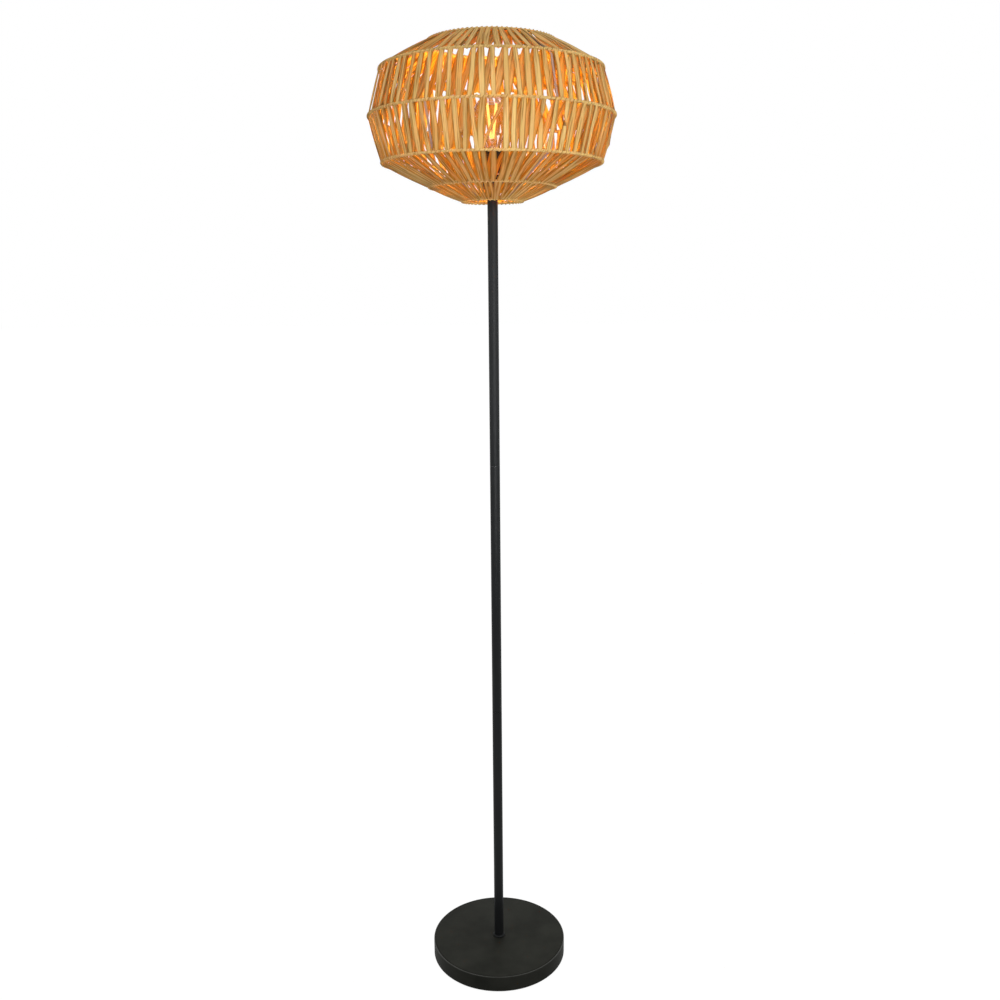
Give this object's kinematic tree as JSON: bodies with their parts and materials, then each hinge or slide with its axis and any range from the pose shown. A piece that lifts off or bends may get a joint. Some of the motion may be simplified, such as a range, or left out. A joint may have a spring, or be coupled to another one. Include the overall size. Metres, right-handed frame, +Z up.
{
  "type": "floor lamp",
  "caption": "Floor lamp with a round weighted base, a slim black pole and a broad openwork shade wound from flat straw-coloured strand round a clear bulb.",
  "frame": {"origin": "on the floor, under the middle of the round base", "axes": "+Z up along the pole, -Y towards the front, the cord inlet at the back on +Y"},
  "size_m": [0.3962, 0.3966, 1.6057],
  "materials": {
    "foam": "foam pad, matt black",
    "black_enamel": "satin black enamel on pressed steel",
    "pole_enamel": "satin black enamel on steel tube",
    "cast_block": "cast concrete, rough",
    "black_plastic": "moulded, fine matt grain",
    "bare_steel": "zinc plated",
    "flex_cover": "black flex cover",
    "ceramic": "unglazed white ceramic",
    "brass": "plain pressed brass",
    "bulb_nickel": "nickel plated",
    "bulb_glass": "clear blown glass",
    "filament": "warm glowing coating",
    "frame_wire": "thin grey coat on steel wire",
    "strand": "natural straw colour, matt, ribbed lengthwise"
  },
  "bodies": {
    "stand": {"foot_pad": "foam", "base_cover": "black_enamel", "base_weight": "cast_block", "cord_grip": "black_plastic", "base_washer": "bare_steel", "base_lock_nut": "bare_steel", "base_nipple": "bare_steel", "foot_collar": "black_enamel", "flex": "flex_cover", "pole_lower": "pole_enamel", "foot_insert": "bare_steel", "joint_socket_lower": "bare_steel", "pole_middle": "pole_enamel", "joint_stud_middle": "bare_steel", "joint_socket_middle": "bare_steel", "pole_upper": "pole_enamel", "joint_stud_upper": "bare_steel", "top_insert": "bare_steel", "holder_nipple": "bare_steel", "holder_cap": "black_plastic", "holder_skirt": "black_plastic", "terminal_block": "ceramic", "terminal_screw_left": "brass", "terminal_screw_right": "brass", "screw_shell": "brass", "centre_contact": "brass"},
    "ring_nut": {"shade_ring_nut": "black_plastic"},
    "bulb": {"bulb_tip": "bulb_nickel", "bulb_insulator": "black_plastic", "bulb_cap": "bulb_nickel", "bulb_glass": "bulb_glass", "bulb_stem": "bulb_glass", "filament_1": "filament", "filament_2": "filament", "filament_3": "filament", "filament_4": "filament", "filament_crown": "bulb_nickel"},
    "shade": {"shade_fitter": "frame_wire", "shade_arm_1": "frame_wire", "shade_arm_2": "frame_wire", "shade_arm_3": "frame_wire", "shade_ring_1": "frame_wire", "shade_ring_2": "frame_wire", "shade_ring_3": "frame_wire", "shade_ring_4": "frame_wire", "shade_ring_5": "frame_wire", "shade_ring_6": "frame_wire", "shade_rib_1": "frame_wire", "shade_rib_2": "frame_wire", "shade_rib_3": "frame_wire", "shade_rib_4": "frame_wire", "shade_rib_5": "frame_wire", "shade_rib_6": "frame_wire", "winding_1": "strand", "winding_2": "strand", "winding_3": "strand", "winding_4": "strand", "winding_5": "strand"}
  },
  "joints": [
    {"name": "shade_turn", "type": "hinge", "parent": "stand", "child": "shade", "pos_m": [0, 0, 1.4037], "axis": [0, 0, 1], "continuous": true},
    {"name": "ring_nut_turn", "type": "hinge", "parent": "stand", "child": "ring_nut", "pos_m": [0, 0, 1.4095], "axis": [0, 0, 1], "continuous": true},
    {"name": "bulb_lift", "type": "slide", "parent": "stand", "child": "bulb", "axis": [0, 0, 1], "range_m": [0, 0.24]}
  ]
}
